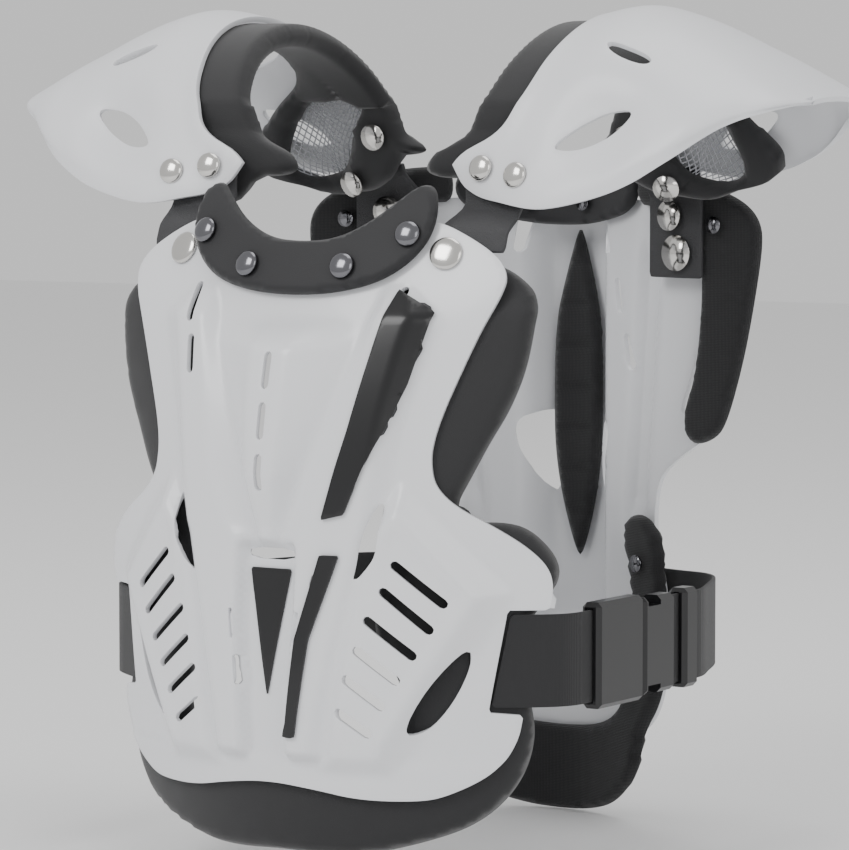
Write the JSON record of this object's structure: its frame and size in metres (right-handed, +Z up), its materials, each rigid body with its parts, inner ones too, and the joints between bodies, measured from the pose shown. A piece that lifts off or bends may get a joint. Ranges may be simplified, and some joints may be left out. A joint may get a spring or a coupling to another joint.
{
  "type": "roost deflector",
  "caption": "White roost deflector with moulded chest and back shells, padded black lining, shoulder caps, side release waist buckles and metal rivets.",
  "frame": {"origin": "midway between the two shoulders, where the shoulder pads rest on them", "axes": "+Z up, -Y to the wearer's front, +X to the wearer's left"},
  "size_m": [0.5252, 0.3561, 0.4779],
  "materials": {
    "white_plastic": "gloss",
    "black_plastic": "satin",
    "padded_fabric": "matte",
    "grained_strap": "matte",
    "webbing": "matte",
    "mesh": "matte",
    "chrome": "polished",
    "dark_metal": "polished"
  },
  "bodies": {
    "root": {"chest_plate": "white_plastic", "trim_strip_upper": "black_plastic", "trim_strip_lower": "black_plastic", "label_field": "black_plastic", "chest_liner": "padded_fabric", "collar_front": "padded_fabric", "back_plate": "white_plastic", "spine_pad": "padded_fabric", "collar_back": "padded_fabric", "hip_pad": "padded_fabric", "back_side_pad_left": "padded_fabric", "back_side_pad_right": "padded_fabric", "shoulder_cap_left": "white_plastic", "shoulder_cap_right": "white_plastic", "shoulder_pad_left": "padded_fabric", "shoulder_pad_right": "padded_fabric", "shoulder_mesh_left": "mesh", "shoulder_mesh_right": "mesh", "front_strap_left": "grained_strap", "front_strap_right": "grained_strap", "rear_strap_left": "grained_strap", "rear_strap_right": "grained_strap", "waist_strap_front_left": "webbing", "waist_strap_front_right": "webbing", "waist_strap_rear_left": "webbing", "waist_strap_rear_right": "webbing", "buckle_female_left": "black_plastic", "buckle_female_right": "black_plastic", "buckle_male_left": "black_plastic", "buckle_male_right": "black_plastic", "strap_slider_left": "black_plastic", "strap_slider_right": "black_plastic", "cap_rivet_front_outer_left": "chrome", "cap_rivet_front_outer_right": "chrome", "cap_rivet_front_inner_left": "chrome", "cap_rivet_front_inner_right": "chrome", "cap_rivet_rear_outer_left": "chrome", "cap_rivet_rear_outer_right": "chrome", "cap_rivet_rear_inner_left": "chrome", "cap_rivet_rear_inner_right": "chrome", "pad_washer_inner_left": "chrome", "pad_washer_inner_right": "chrome", "pad_washer_outer_left": "chrome", "pad_washer_outer_right": "chrome", "plate_screw_left": "chrome", "plate_screw_right": "chrome", "collar_dome_outer_left": "dark_metal", "collar_dome_outer_right": "dark_metal", "collar_dome_inner_left": "dark_metal", "collar_dome_inner_right": "dark_metal", "rear_disc_left": "chrome", "rear_disc_right": "chrome", "eyelet_left": "chrome", "eyelet_right": "chrome", "side_rivet_left": "dark_metal", "side_rivet_right": "dark_metal", "hip_rivet_left": "dark_metal", "hip_rivet_right": "dark_metal", "back_collar_rivet_left": "dark_metal", "back_collar_rivet_right": "dark_metal"}
  },
  "joints": []
}
